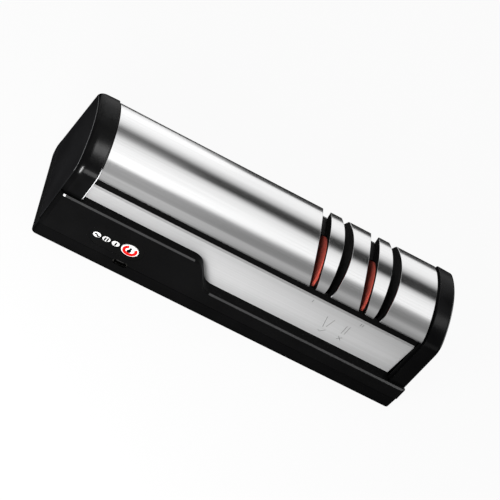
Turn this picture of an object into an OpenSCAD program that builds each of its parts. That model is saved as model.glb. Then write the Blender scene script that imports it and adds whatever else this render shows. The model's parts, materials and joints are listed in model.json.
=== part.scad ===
// Two-stage electric knife sharpener: a long case with a domed steel top, four knife slots,
// two pairs of grinding discs on one spindle, a geared-down battery drive and a lit button panel.
// X runs along the case, the front faces -Y, and Z = 0 is the table under the rubber feet.

/* [Case] */
// Overall length of the case
body_l = 240; // [225:1:260]
// Overall depth of the case, front to back
body_d = 68; // [66:1:76]
// Height of the case above its own underside
body_h = 65.2; // [63:0.1:68]
// Height of the seam between the bottom pan and the upper pieces
seam_h = 9.5; // [8.5:0.5:10.5]
// Lean of the front face from upright, in degrees
front_lean = 6; // [3:0.5:8]
// Lean of the back face from upright, in degrees
back_lean = 0.5; // [0:0.5:3]
// Radius of the dome, as a share of the depth
dome_share = 0.838; // [0.77:0.002:0.88]
// Distance of the dome's crown behind the front edge, as a share of the depth
crown_share = 0.594; // [0.56:0.002:0.61]
// Radius where the dome rolls into the front face
dome_front_r = 11; // [9:0.5:13]
// Radius where the dome rolls into the back face
dome_back_r = 3; // [2.5:0.5:6]
// Wall thickness of the plastic case
wall = 2.4; // [2:0.1:3]
// Radius of the case's upright corners
corner_r = 2.5; // [1.5:0.5:4]
// Bevel round the underside of the pan
pan_bevel = 1.2; // [0.6:0.1:2]

/* [End caps] */
// Width of the left end cap
left_cap_w = 14; // [12.5:0.5:18]
// Width of the right end cap
right_cap_w = 12.5; // [12.5:0.5:18]
// Radius of the rounded edge round each end face
cap_edge_r = 2.2; // [1:0.1:3]
// Distance of the caps' front behind the front cover's face
cap_set = 2.9; // [2.8:0.1:3.5]

/* [Front cover] */
// Thickness of the front cover's wall
cover_t = 2.6; // [2.4:0.1:2.8]
// Height of the ledge at the left, over the controls
ledge_high = 36; // [34:0.5:38]
// Height of the ledge at the right, under the slots
ledge_low = 18.6; // [16:0.1:20]
// Distance from the left end to where the ledge starts to fall
ledge_fall = 86; // [80:1:100]
// Radius of the two bends in the ledge
ledge_r = 9; // [6:0.5:10]
// Slope of the falling part of the ledge, in degrees
ledge_slope = 58; // [50:1:70]
// Thickness of the ledge's lip
lip_t = 2.2; // [1.6:0.1:3]

/* [Steel skins] */
// Thickness of the domed steel cover
dome_t = 0.8; // [0.6:0.1:1]
// Distance of the steel dome below the end caps' surface
dome_set = 1; // [0.6:0.1:1.4]
// Height of the dome's front edge, over the groove, as a share of the case's height
dome_front_share = 0.8; // [0.79:0.005:0.82]
// Height of the dome's back edge, as a share of the case's height
dome_back_share = 0.66; // [0.55:0.01:0.74]
// Thickness of the flat steel front plate
plate_t = 1; // [0.8:0.1:1.2]
// Distance of the front plate behind the front cover's face
plate_set = 5.6; // [5.2:0.1:6]
// Height of the front plate's upper edge, under the groove, as a share of the case's height
plate_top_share = 0.74; // [0.735:0.005:0.76]
// How far the front plate tucks down behind the ledge's lip
plate_tuck = 1.8; // [1:0.1:2.1]

/* [Knife slots] */
// Distance from the right end to the middle of the coarse stage
stage_end = 48; // [46:0.1:52]
// Distance between the two stages
stage_gap = 33.3; // [32:0.1:36]
// Distance of a slot's outer side from the middle of its stage, at the crown's height
slot_outer = 11.6; // [11.2:0.1:12]
// Distance of a slot's inner side from the middle of its stage, at the crown's height
slot_inner = 5; // [4.8:0.1:5.2]
// Lean of a slot's outer side, in degrees
outer_lean = 18.8; // [17:0.1:20]
// Lean of a slot's inner side, in degrees
inner_lean = 9.7; // [9:0.1:12]
// Height of the slots' floor at the back, as a share of the case's height
slot_back_share = 0.8; // [0.79:0.005:0.81]
// Height of the slots' floor at the groove, as a share of the case's height
slot_front_share = 0.767; // [0.755:0.001:0.775]

/* [Grinding drive] */
// Radius of the spindle
spindle_r = 3; // [2.5:0.1:3.5]
// Radius of the grinding discs, as a share of the case's depth
wheel_share = 0.32; // [0.3:0.001:0.325]
// Distance of the discs' rim below the dome's crown
wheel_cover = 5; // [4.5:0.1:6]
// Gap between the discs' rim and the front plate
wheel_front_gap = 2; // [1.8:0.1:2.4]
// Distance of a disc's grinding face from the middle of its stage
wheel_face = 4.2; // [4:0.1:4.4]
// Thickness of the abrasive layer
grit_t = 1.6; // [1:0.1:2]
// How much smaller the motor's radius is than the discs'
motor_less = 4.1; // [4:0.1:6]
// Length of the motor's can, as a share of the room left of the drive
motor_share = 0.35; // [0.3:0.005:0.36]

/* [Power] */
// Radius of a battery cell
cell_r = 7.1; // [6.9:0.05:7.3]
// Length of a battery cell, as a share of the room left of the drive
cell_share = 0.456; // [0.42:0.002:0.47]
// Distance from the left end to the middle of the power button
button_end = 52.1; // [50:0.1:56]
// Height of the power button's middle
button_h = 21.3; // [20:0.1:22.5]
// Radius of the power button
button_r = 5.4; // [5:0.1:5.6]
// Height of the oval button over its width
button_flat = 0.87; // [0.8:0.01:1]
// How far the power button can be pressed
button_travel = 0.6; // [0.4:0.1:0.7]
// Radius of the indicator lenses
lens_r = 2.6; // [2.2:0.1:2.8]
// Distance between two indicator lenses
lens_pitch = 6; // [5.8:0.1:6.4]
// Distance from the power button to the nearest indicator lens
lens_start = 9; // [8.7:0.1:10]
// Width of the charging socket's shell
usb_w = 8.94; // [8.5:0.01:9.2]
// Height of the charging socket's shell
usb_h = 3.26; // [3:0.01:3.4]

/* [Underside] */
// How far the rubber feet stand below the pan
foot_proud = 1; // [0.8:0.1:2]
// Radius of the rubber feet
foot_r = 6; // [5:0.1:7]
// How far the swarf hatch reaches past the middle of each stage
hatch_reach = 15.5; // [13:0.5:16]
// Width of the swarf hatch, as a share of the case's depth
hatch_share = 0.5; // [0.44:0.01:0.52]

/* [Hidden] */
$fn = 96;

// One overrun serves every cut, and two clearances serve the fits.
over = 5;
run_fit = 0.05;
slip_fit = 0.3;

// Outer places of the case in the model's frame
half_l = body_l / 2;
half_d = body_d / 2;
base_z = foot_proud;
seam_z = base_z + seam_h;
left_in = -half_l + left_cap_w;
right_in = half_l - right_cap_w;

// Front and back planes lean about the seam.
front_dir = [sin(front_lean), cos(front_lean)];
front_in = [cos(front_lean), -sin(front_lean)];
back_dir = [-sin(back_lean), cos(back_lean)];
back_in = [-cos(back_lean), -sin(back_lean)];
front_foot = [-half_d + cap_set / cos(front_lean), seam_z];
back_foot = [half_d, seam_z];

// Centre of the dome's arc, and of the two arcs that roll into the faces
dome_r = dome_share * body_d;
dome_c = [crown_share * body_d - half_d, base_z + body_h - dome_r];
function roll_centre(foot, dir, inward, r) =
    let (w = foot + r * inward - dome_c, k = dome_r - r)
    foot + r * inward + dir * (-(w * dir) + sqrt(pow(w * dir, 2) - w * w + k * k));
front_c = roll_centre(front_foot, front_dir, front_in, dome_front_r);
back_c = roll_centre(back_foot, back_dir, back_in, dome_back_r);
front_a = atan2(front_c[1] - dome_c[1], front_c[0] - dome_c[0]);
back_a = atan2(back_c[1] - dome_c[1], back_c[0] - dome_c[0]);
dome_steps = 26;
roll_steps = 12;
function arc_points(c, r, from, to, steps) =
    [for (i = [0 : steps]) let (a = from + (to - from) * i / steps) c + r * [cos(a), sin(a)]];

// Places where a face at a given height meets the front and back planes, set in by a distance
function front_y(z, set) = -half_d + (cap_set + set) / cos(front_lean) + (z - seam_z) * tan(front_lean);
function back_y(z, set) = half_d - set / cos(back_lean) - (z - seam_z) * tan(back_lean);

// Stages and slots
coarse_x = half_l - stage_end;
fine_x = coarse_x - stage_gap;
crown_z = base_z + body_h;
slot_back_z = base_z + slot_back_share * body_h;
slot_front_z = base_z + slot_front_share * body_h;
function outer_at(z) = slot_outer - (crown_z - z) * tan(outer_lean);
function inner_at(z) = slot_inner - (crown_z - z) * tan(inner_lean);
guide_side = 2.6;
guide_half = slot_outer + guide_side;
guide_low_share = 0.72;
guide_low_z = base_z + guide_low_share * body_h;
bay_side = 3;
bay_half = slot_outer - bay_side;
back_rest = 16;
bay_back_y = half_d - back_rest;

// Skins and what lies under them
dome_front_z = base_z + dome_front_share * body_h;
dome_back_z = base_z + dome_back_share * body_h;
dome_under = dome_set + dome_t;
plate_top_u = (plate_top_share * body_h - seam_h) / cos(front_lean);
plate_top_z = seam_z + plate_top_u * cos(front_lean) - plate_set * sin(front_lean);
plate_y = -half_d + plate_top_u * sin(front_lean) + plate_set * cos(front_lean);
ledge_sag = (plate_y + half_d) * tan(front_lean);
strip_t = 2;
strip_lap = 3;
strip_low_z = guide_low_z;
strip_fall = (strip_low_z - seam_z) * tan(front_lean);
strip_set = (plate_y + plate_t + half_d - strip_fall) * cos(front_lean) - cap_set;
strip_high_z = dome_front_z + strip_lap;
frame_t = 2.4;
backing_t = 1.2;

// Ledge: two bends joined by a straight fall
ledge_x = -half_l + ledge_fall;
ledge_drop = ledge_high - ledge_low;
fall_l = (ledge_drop - 2 * ledge_r * (1 - cos(ledge_slope))) / sin(ledge_slope);
ledge_end_x = ledge_x + 2 * ledge_r * sin(ledge_slope) + fall_l * cos(ledge_slope);

// Drive line: the discs keep their named gaps from the crown and from the front plate
wheel_r = wheel_share * body_d;
spindle_z = crown_z - wheel_cover - wheel_r;
spindle_y = plate_y + plate_t + wheel_front_gap + wheel_r;
bay_margin = 18.5;
bay_wall_t = 2;
bay_back_gap = 3;
bay_left_x = fine_x - bay_margin;
bay_right_x = coarse_x + bay_margin;
bearing_w = 5;
bearing_r = 6.5;
bearing_boss_r = bearing_r + bay_wall_t;
wheel_gap = 0.6;
hub_r = 8;
hub_proud = 0.8;
hub_half = wheel_face + hub_proud;
web_half = wheel_face - grit_t;
grit_in_r = 9;
clip_t = 1;
clip_rim = 2;
clip_r = spindle_r + clip_rim;
coupling_r = 6;
coupling_l = 12;
bracket_t = 2.2;
coupling_gap = 1;
screw_room = 2.5;
coupling_x = bay_left_x - bearing_w - coupling_gap - coupling_l;
bracket_x = coupling_x - screw_room;
motor_face_x = bracket_x - bracket_t;
spindle_x = coupling_x + coupling_l / 2;
spindle_end_x = bay_right_x + bearing_w + clip_t;
shaft_r = 1.6;
shaft_end_gap = 1;
motor_wall = 1.6;
bell_l = 6;
drive_room = motor_face_x - bell_l + half_l - wall;
motor_r = wheel_r - motor_less;
motor_l = motor_share * drive_room;
bell_x = motor_face_x - motor_l - bell_l;
armature_share = 0.75;
motor_nose_r = 5;
nose_l = bracket_t;
motor_screw_r = 1.5;
motor_screw_share = 0.7;
motor_screw_pitch = motor_screw_share * motor_r;
bracket_rise = 8;
bracket_foot_l = 12;
bracket_foot_t = 2.2;
screw_head_share = 1.9;

// Pan, its posts and the fittings under it
floor_t = 2.2;
floor_z = base_z + floor_t;
foot_in_x = 25;
foot_in_y = 12;
foot_recess = 0.8;
post_r = 4;
post_in = 8;
case_screw_r = 1.5;
case_head_r = 3;
case_head_l = 2;
case_head_t = 1.6;
cap_post_l = 10;
slice_share = 0.01;
hatch_t = 1.4;
hatch_lip = 2;
hatch_x = (fine_x + coarse_x) / 2;
hatch_y = 2;
hatch_l = stage_gap + 2 * hatch_reach;
hatch_w = hatch_share * body_d;
magnet_gap = 1.5;
magnet_l = stage_gap - 2 * (hub_half + magnet_gap);
magnet_w = 8;
magnet_h = 3;

// Battery bay
cradle_wall = 1.5;
tab_t = 0.4;
tab_w = 8;
cell_l = cell_share * drive_room;
cradle_x = (post_in + post_r - half_l + bell_x) / 2;
cradle_floor = 1;
cell_z = floor_z + cell_r + cradle_floor;
front_cell_set = 21.5;
front_cell_y = front_cell_set - half_d;
back_cell_set = 15;
back_cell_y = half_d - back_cell_set;
cradle_h = cell_r - cradle_floor;
cradle_half = cell_l / 2 + tab_t + cradle_wall;

// Controls, measured inwards from the front cover's face
button_x = -half_l + button_end;
board_set = 8;
board_t = 1.6;
panel_t = 0.8;
panel_h = 14;
panel_left = 25.4;
panel_right = 8.4;
button_proud = 0.5;
button_skirt = 0.6;
flange_rim = 1.2;
flange_r = button_r + flange_rim;
flange_gap = 0.1;
plunger_r = 1.7;
plunger_l = 1.9;
switch_w = 6;
switch_h = 3.5;
plunger_set = cover_t + flange_gap + button_skirt;
switch_bore = plunger_set + plunger_l + button_travel + slip_fit - board_set + switch_h;
ring_out_share = 0.78;
ring_in_share = 0.53;
ring_open = 84;
mark_t = 0.3;
bar_w = 1.1;
bar_l = 3.6;
lens_t = 2.4;
pipe_step = 0.8;
pipe_r = lens_r - pipe_step;
led_t = 1.1;
led_w = 1.6;
led_l = 3.2;
led_gap = 0.3;
board_l = 44;
board_h = 19;
board_shift = 9.2;
board_x = button_x - board_shift;
board_screw_r = 1;
board_screw_in = 3;
board_screw_x = board_l / 2 - board_screw_in;
board_low_h = 12;

// Charging socket in the seam
usb_shift = 0.6;
usb_drop = 0.5;
usb_x = button_x + usb_shift;
usb_z = seam_z - usb_drop;
usb_l = 7.35;
usb_in = 0.6;
usb_wall = 0.3;
usb_gap = 0.25;
tongue_t = 0.7;
tongue_share = 0.7;
charge_l = 18;
charge_w = 9;
charge_t = 1;

// A solid with one profile in Y and Z, from x0 to x1
module along_x(x0, x1) {
    translate([x0, 0, 0])
        rotate([90, 0, 90])
            linear_extrude(x1 - x0)
                children();
}

// A solid with one profile in X and Z, from y0 to y1
module along_y(y0, y1) {
    translate([0, y1, 0])
        rotate([90, 0, 0])
            linear_extrude(y1 - y0)
                children();
}

// A box between two corners
module span(a, b) {
    translate(a)
        cube(b - a);
}

// Case profile set in by a distance, from height z0 up, in Y and Z
module profile(set, z0) {
    back_r = max(dome_back_r - set, 0);
    intersection() {
        polygon(concat(
            [[front_y(0, set), 0]],
            arc_points(front_c, dome_front_r - set, 180 - front_lean, front_a, roll_steps),
            arc_points(dome_c, dome_r - set, front_a, back_a, dome_steps),
            arc_points(back_c, back_r, back_a, back_lean, roll_steps),
            [[back_y(0, set), 0]]
        ));
        translate([-body_d, z0])
            square([2 * body_d, 2 * body_h]);
    }
}

// Shell between two profiles
module shell_profile(set, t, z0) {
    difference() {
        profile(set, z0);
        profile(set + t, z0 - over);
    }
}

// Footprint of the case, set in by a distance
module footprint(set) {
    r = corner_r;
    for (sx = [-1, 1], sy = [-1, 1])
        translate([sx * (half_l - set - r), sy * (half_d - set - r)])
            circle(r);
    square([body_l - 2 * set, body_d - 2 * set - 2 * r], center = true);
    square([body_l - 2 * set - 2 * r, body_d - 2 * set], center = true);
}

// Places a piece that is drawn in X, height over the seam and depth, on the leaning front
module on_front() {
    translate([0, -half_d, seam_z])
        rotate([90 - front_lean, 0, 0])
            mirror([0, 0, 1])
                children();
}

// Places a piece that is drawn in X, height over the seam and depth, behind the plate's upright face
module on_plate() {
    translate([0, plate_y, seam_z])
        rotate([90, 0, 0])
            mirror([0, 0, 1])
                children();
}

// Places a piece on the front at the button, with its height drawn as its width
module on_button(depth) {
    on_front()
        translate([button_x, button_h - seam_h, depth])
            scale([1, button_flat, 1])
                children();
}

// Outline under the ledge, in X and height over the seam, lowered by a distance
module under_ledge(drop) {
    top = ledge_high - seam_h - drop;
    low = ledge_low - seam_h - drop;
    bend_a = [ledge_x, top - ledge_r];
    bend_b = [ledge_end_x, low + ledge_r];
    across = ledge_r * [sin(ledge_slope), cos(ledge_slope)];
    difference() {
        polygon([
            [-half_l - over, -over],
            [half_l + over, -over],
            [half_l + over, low],
            [ledge_end_x, low],
            bend_b,
            bend_b - across,
            bend_a + across,
            [ledge_x, top],
            [-half_l - over, top]
        ]);
        translate(bend_b)
            circle(ledge_r);
    }
    translate(bend_a)
        circle(ledge_r);
}

// The two slots of one stage, from a floor up, between two depths
module slot_pair(x, floor_z0, y0, y1) {
    top = crown_z + over;
    along_y(y0, y1)
        translate([x, 0])
            for (s = [-1, 1])
                polygon([
                    [s * inner_at(floor_z0), floor_z0],
                    [s * outer_at(floor_z0), floor_z0],
                    [s * outer_at(top), top],
                    [s * inner_at(top), top]
                ]);
}

module all_slots(x) {
    slot_pair(x, slot_back_z, -half_d - over, half_d + over);
    slot_pair(x, slot_front_z, -half_d - over, 0);
}

// A screw along Z with its head at the bottom
module screw(r, head_r, head_l, l) {
    cylinder(r = head_r, h = head_l);
    cylinder(r = r, h = l);
}

// A ring or tube along X
module tube_x(x0, x1, r, bore) {
    translate([x0, spindle_y, spindle_z])
        rotate([0, 90, 0])
            difference() {
                cylinder(r = r, h = x1 - x0);
                translate([0, 0, -over])
                    cylinder(r = bore, h = x1 - x0 + 2 * over);
            }
}

module rod_x(x0, x1, r) {
    translate([x0, spindle_y, spindle_z])
        rotate([0, 90, 0])
            cylinder(r = r, h = x1 - x0);
}

// Case screw and foot places, in X and Y
screw_places = [for (sx = [-1, 1], sy = [-1, 1]) [sx * (half_l - post_in), sy * (half_d - post_in)]];
foot_places = [for (sx = [-1, 1], sy = [-1, 1]) [sx * (half_l - foot_in_x), sy * (half_d - foot_in_y)]];

// Opening of the charging socket, through the pan's and the cover's wall
module usb_hole() {
    along_y(-half_d - over, -half_d + wall + over)
        translate([usb_x, usb_z])
            usb_outline(-usb_gap);
}

module base_pan() {
    color("#121212")
        difference() {
            union() {
                difference() {
                    hull() {
                        translate([0, 0, base_z])
                            linear_extrude(pan_bevel)
                                footprint(pan_bevel);
                        translate([0, 0, base_z + pan_bevel])
                            linear_extrude(seam_h - pan_bevel)
                                footprint(0);
                    }
                    translate([0, 0, floor_z])
                        linear_extrude(body_h)
                            footprint(wall);
                }
                for (p = screw_places)
                    translate([p[0], p[1], floor_z])
                        cylinder(r = post_r, h = seam_z - floor_z);
                for (x = [usb_x - charge_l / 2, usb_x + charge_l / 2 - wall])
                    span(
                        [x, -half_d + wall, floor_z],
                        [x + wall, -half_d + wall + charge_w, usb_z - usb_h / 2 - charge_t]
                    );
            }
            for (p = screw_places)
                translate([p[0], p[1], base_z - over]) {
                    cylinder(r = case_head_r, h = over + case_head_l);
                    cylinder(r = case_screw_r, h = body_h);
                }
            for (p = foot_places)
                translate([p[0], p[1], base_z - over])
                    cylinder(r = foot_r, h = over + foot_recess);
            translate([hatch_x, hatch_y, 0])
                cube([hatch_l - 2 * hatch_lip, hatch_w - 2 * hatch_lip, body_h], center = true);
            translate([hatch_x, hatch_y, base_z])
                cube([hatch_l, hatch_w, 2 * hatch_t], center = true);
            usb_hole();
        }
}

module front_cover() {
    color("#101010")
        difference() {
            intersection() {
                union() {
                    on_front()
                        linear_extrude(cover_t)
                            under_ledge(0);
                    intersection() {
                        on_front()
                            linear_extrude(half_d)
                                difference() {
                                    under_ledge(0);
                                    under_ledge(lip_t);
                                }
                        span([left_in, -half_d - over, 0], [right_in, plate_y, crown_z]);
                    }
                    on_front()
                        for (s = [-1, 1])
                            translate([board_x + s * board_screw_x, board_low_h + board_h / 2 - seam_h, 0])
                                cylinder(r = post_r / 2, h = board_set);
                }
                translate([0, 0, seam_z])
                    linear_extrude(body_h)
                        footprint(0);
            }
            on_front() {
                translate([0, 0, -over])
                    linear_extrude(over + panel_t)
                        panel_outline();
                for (i = [0 : 2])
                    translate([lens_x(i), button_h - seam_h, -over])
                        cylinder(r = lens_r, h = 2 * over);
                for (s = [-1, 1])
                    translate([board_x + s * board_screw_x, board_low_h + board_h / 2 - seam_h, cover_t])
                        cylinder(r = board_screw_r, h = board_set);
            }
            on_button(-over)
                cylinder(r = button_r + slip_fit, h = 2 * over);
            usb_hole();
        }
}

function lens_x(i) = button_x - lens_start - i * lens_pitch;

// Rounded outline of the control panel, in X and height over the seam
module panel_outline() {
    r = panel_h / 2;
    for (x = [button_x - panel_left + r, button_x + panel_right - r])
        translate([x, button_h - seam_h])
            circle(r);
    translate([button_x - panel_left + r, button_h - seam_h - r])
        square([panel_left + panel_right - panel_h, panel_h]);
}

module back_cover() {
    color("#141414")
        intersection() {
            along_x(left_in, right_in)
                shell_profile(dome_set, wall, seam_z);
            span([-half_l, 0, seam_z], [half_l, half_d + over, dome_back_z]);
        }
}

// An end cap with its rounded edge on the side of negative X
module end_cap(w) {
    steps = 5;
    slice = cap_edge_r * slice_share;
    difference() {
        union() {
            difference() {
                union() {
                    hull()
                        for (k = [0 : steps])
                            translate([cap_edge_r * (1 - cos(90 * k / steps)), 0, 0])
                                along_x(0, slice)
                                    profile(cap_edge_r * (1 - sin(90 * k / steps)), seam_z);
                    along_x(cap_edge_r, w)
                        profile(0, seam_z);
                }
                along_x(wall, w + over)
                    profile(wall, seam_z - over);
            }
            intersection() {
                along_x(w - wall, w)
                    profile(0, seam_z);
                span([0, -half_d, seam_z], [w, plate_y + plate_t, crown_z]);
            }
            for (s = [-1, 1]) {
                translate([post_in, s * (half_d - post_in), seam_z])
                    cylinder(r = post_r, h = cap_post_l);
                span(
                    [wall / 2, s * (half_d - post_in) - wall / 2, seam_z],
                    [post_in, s * (half_d - post_in) + wall / 2, seam_z + cap_post_l]
                );
            }
        }
        for (s = [-1, 1])
            translate([post_in, s * (half_d - post_in), seam_z - over])
                cylinder(r = case_screw_r, h = over + cap_post_l - wall);
    }
}

module left_end_cap() {
    color("#1c1c1c")
        translate([-half_l, 0, 0])
            end_cap(left_cap_w);
}

module right_end_cap() {
    color("#1a1a1a")
        translate([half_l, 0, 0])
            mirror([1, 0, 0])
                end_cap(right_cap_w);
}

module steel_dome() {
    color("#c8c8ca")
        difference() {
            along_x(left_in, right_in)
                shell_profile(dome_set, dome_t, dome_back_z);
            span([-half_l, -half_d - over, 0], [half_l, 0, dome_front_z]);
            all_slots(fine_x);
            all_slots(coarse_x);
        }
}

module front_plate() {
    color("#c0c0c2")
        on_plate()
            linear_extrude(plate_t)
                difference() {
                    translate([left_in, 0])
                        square([right_in - left_in, plate_top_z - seam_z]);
                    translate([0, -ledge_sag])
                        under_ledge(plate_tuck);
                }
}

module groove_strip() {
    color("#0c0c0c")
        difference() {
            along_x(left_in, right_in)
                intersection() {
                    shell_profile(strip_set, strip_t, strip_low_z);
                    translate([-half_d, strip_low_z])
                        square([half_d - over, strip_high_z - strip_low_z]);
                }
            all_slots(fine_x);
            all_slots(coarse_x);
            wheel_room(fine_x);
            wheel_room(coarse_x);
        }
}

// Black arch under the dome, open where the two guide blocks stand
module inner_frame() {
    color("#151515")
        difference() {
            along_x(left_in, right_in)
                difference() {
                    shell_profile(dome_under, frame_t, dome_back_z);
                    translate([-half_d - over, 0])
                        square([half_d + over, strip_high_z]);
                }
            for (x = [fine_x, coarse_x])
                span([x - guide_half, -half_d, guide_low_z], [x + guide_half, half_d, crown_z]);
        }
}

// Thin backing of the front plate, from the ledge up to the groove strip
module plate_frame() {
    color("#151515")
        intersection() {
            on_plate()
                translate([0, 0, plate_t])
                    linear_extrude(backing_t)
                        difference() {
                            translate([left_in, 0])
                                square([right_in - left_in, body_h]);
                            translate([0, -ledge_sag])
                                under_ledge(0);
                        }
            span([-half_l, -half_d, 0], [half_l, half_d, strip_low_z]);
        }
}

// Guide block of one stage: two slots, a fin between them and room for the discs
module guide(x) {
    difference() {
        along_x(x - guide_half, x + guide_half)
            difference() {
                profile(dome_under, guide_low_z);
                difference() {
                    translate([-half_d - over, 0])
                        square([half_d + over, strip_high_z]);
                    profile(strip_set + strip_t, guide_low_z - over);
                }
            }
        slot_pair(x, slot_back_z, -half_d - over, half_d + over);
        span([x - bay_half, -half_d - over, 0], [x + bay_half, bay_back_y, slot_back_z]);
        span(
            [x - wheel_face - wheel_gap, -half_d - over, 0],
            [x + wheel_face + wheel_gap, spindle_y - wheel_r / 2, strip_high_z]
        );
        wheel_room(x);
    }
}

// Room that the two discs of one stage turn in
module wheel_room(x) {
    rod_x(x - wheel_face - wheel_gap, x + wheel_face + wheel_gap, wheel_r + wheel_gap);
}

module fine_guide() {
    color("#0e0e0e")
        guide(fine_x);
}

module coarse_guide() {
    color("#0e0e0e")
        guide(coarse_x);
}

// Two walls with bearing bosses, joined along the back, that close the grinding bay
module bay_walls() {
    top = guide_low_z;
    wall_back = half_d - wall - bay_back_gap;
    wall_front = front_y(guide_low_z, strip_set + strip_t) + slip_fit;
    color("#181818")
        difference() {
            union() {
                for (x = [bay_left_x - bay_wall_t, bay_right_x])
                    span([x, wall_front, floor_z], [x + bay_wall_t, wall_back, top]);
                span(
                    [bay_left_x - bay_wall_t, wall_back - bay_wall_t, floor_z],
                    [bay_right_x + bay_wall_t, wall_back, top]
                );
                rod_x(bay_left_x - bearing_w, bay_left_x, bearing_boss_r);
                rod_x(bay_right_x, bay_right_x + bearing_w, bearing_boss_r);
            }
            rod_x(bay_left_x - bearing_w - over, bay_right_x + bearing_w + over, bearing_r);
        }
}

module swarf_hatch() {
    grip_r = 5;
    color("#151515")
        difference() {
            union() {
                translate([hatch_x, hatch_y, base_z + hatch_t / 2])
                    cube([hatch_l - slip_fit, hatch_w - slip_fit, hatch_t], center = true);
                translate([hatch_x, hatch_y, base_z + floor_t / 2])
                    cube([
                        hatch_l - 2 * hatch_lip - slip_fit,
                        hatch_w - 2 * hatch_lip - slip_fit,
                        floor_t
                    ], center = true);
            }
            translate([hatch_x, hatch_y - hatch_w / 2, base_z])
                cylinder(r = grip_r, h = hatch_t, center = true);
        }
}

module swarf_magnet() {
    color("#8c8c8c")
        translate([hatch_x, hatch_y, floor_z + magnet_h / 2])
            cube([magnet_l, magnet_w, magnet_h], center = true);
}

module spindle_bearings() {
    color("#b8b8b8") {
        tube_x(bay_left_x - bearing_w, bay_left_x, bearing_r, spindle_r + run_fit);
        tube_x(bay_right_x, bay_right_x + bearing_w, bearing_r, spindle_r + run_fit);
    }
}

module spindle() {
    color("#a0a0a4")
        rod_x(spindle_x, spindle_end_x, spindle_r);
}

module spindle_clips() {
    gap = slip_fit;
    color("#505054") {
        tube_x(bay_left_x + gap, bay_left_x + gap + clip_t, clip_r, spindle_r);
        tube_x(bay_right_x - gap - clip_t, bay_right_x - gap, clip_r, spindle_r);
    }
}

module wheel_hubs() {
    color("#9a9a9e")
        for (x = [fine_x, coarse_x]) {
            tube_x(x - web_half, x + web_half, wheel_r - grit_t, spindle_r);
            tube_x(x - hub_half, x - web_half, hub_r, spindle_r);
            tube_x(x + web_half, x + hub_half, hub_r, spindle_r);
        }
}

// Two abrasive rings bonded to the faces of one hub
module wheel_pair(x) {
    tube_x(x - wheel_face, x - web_half, wheel_r, grit_in_r);
    tube_x(x + web_half, x + wheel_face, wheel_r, grit_in_r);
}

module fine_wheels() {
    color("#8e2a22")
        wheel_pair(fine_x);
}

module coarse_wheels() {
    color("#8e2a22")
        wheel_pair(coarse_x);
}

module shaft_coupling() {
    color("#b0894a")
        difference() {
            rod_x(coupling_x, coupling_x + coupling_l, coupling_r);
            rod_x(coupling_x - over, spindle_x, shaft_r);
            rod_x(spindle_x, coupling_x + coupling_l + over, spindle_r);
        }
}

module motor_armature() {
    mid = motor_face_x - motor_l / 2;
    half = armature_share * motor_l / 2;
    color("#7a4a2a") {
        rod_x(bell_x + bell_l / 2, spindle_x, shaft_r);
        rod_x(mid - half, mid + half, armature_share * motor_r);
    }
}

module motor_can() {
    color("#909094")
        difference() {
            union() {
                rod_x(motor_face_x - motor_l, motor_face_x, motor_r);
                rod_x(motor_face_x, motor_face_x + nose_l, motor_nose_r);
            }
            rod_x(motor_face_x - motor_l - over, motor_face_x - motor_wall, motor_r - motor_wall);
            rod_x(motor_face_x - over, motor_face_x + nose_l + over, shaft_r + run_fit);
            motor_screw_holes();
        }
}

module motor_screw_holes() {
    for (s = [-1, 1])
        translate([motor_face_x - motor_wall - over, spindle_y + s * motor_screw_pitch, spindle_z])
            rotate([0, 90, 0])
                cylinder(r = motor_screw_r, h = 3 * over);
}

module motor_end_bell() {
    color("#202022")
        difference() {
            rod_x(bell_x, bell_x + bell_l, motor_r);
            rod_x(bell_x + bell_l / 2 - shaft_end_gap, bell_x + bell_l + over, shaft_r + run_fit);
        }
}

module motor_bracket() {
    color("#6c6c70")
        difference() {
            union() {
                span(
                    [motor_face_x, spindle_y - motor_r, floor_z],
                    [bracket_x, spindle_y + motor_r, spindle_z + bracket_rise]
                );
                span(
                    [motor_face_x, spindle_y - motor_r, floor_z],
                    [motor_face_x + bracket_foot_l, spindle_y + motor_r, floor_z + bracket_foot_t]
                );
            }
            rod_x(motor_face_x - over, bracket_x + over, motor_nose_r);
            motor_screw_holes();
        }
}

module motor_screws() {
    color("#3a3a3c")
        for (s = [-1, 1])
            translate([bracket_x + motor_screw_r, spindle_y + s * motor_screw_pitch, spindle_z])
                rotate([0, -90, 0])
                    screw(
                        motor_screw_r,
                        motor_screw_r * screw_head_share,
                        motor_screw_r,
                        motor_screw_r + bracket_t + motor_wall
                    );
}

module battery_cells() {
    color("#2f6f9f")
        for (y = [front_cell_y, back_cell_y])
            translate([cradle_x, y, cell_z])
                rotate([0, 90, 0])
                    cylinder(r = cell_r, h = cell_l, center = true);
}

module battery_cradle() {
    side = cell_r + cradle_wall / 2;
    color("#242424")
        difference() {
            span(
                [cradle_x - cradle_half, front_cell_y - side, floor_z],
                [cradle_x + cradle_half, back_cell_y + side, floor_z + cradle_h]
            );
            for (y = [front_cell_y, back_cell_y])
                translate([cradle_x, y, cell_z])
                    rotate([0, 90, 0])
                        cylinder(r = cell_r + run_fit, h = cell_l + 2 * tab_t, center = true);
        }
}

module cell_tabs() {
    color("#c9c9cc")
        for (y = [front_cell_y, back_cell_y], s = [-1, 1])
            translate([cradle_x + s * (cell_l + tab_t) / 2, y, cell_z])
                cube([tab_t, tab_w, tab_w], center = true);
}

module control_board() {
    color("#1f5a3a")
        on_front()
            difference() {
                translate([board_x - board_l / 2, board_low_h - seam_h, board_set])
                    cube([board_l, board_h, board_t]);
                for (s = [-1, 1])
                    translate([board_x + s * board_screw_x, board_low_h + board_h / 2 - seam_h, 0])
                        cylinder(r = board_screw_r, h = board_set + board_t + over);
            }
}

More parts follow.
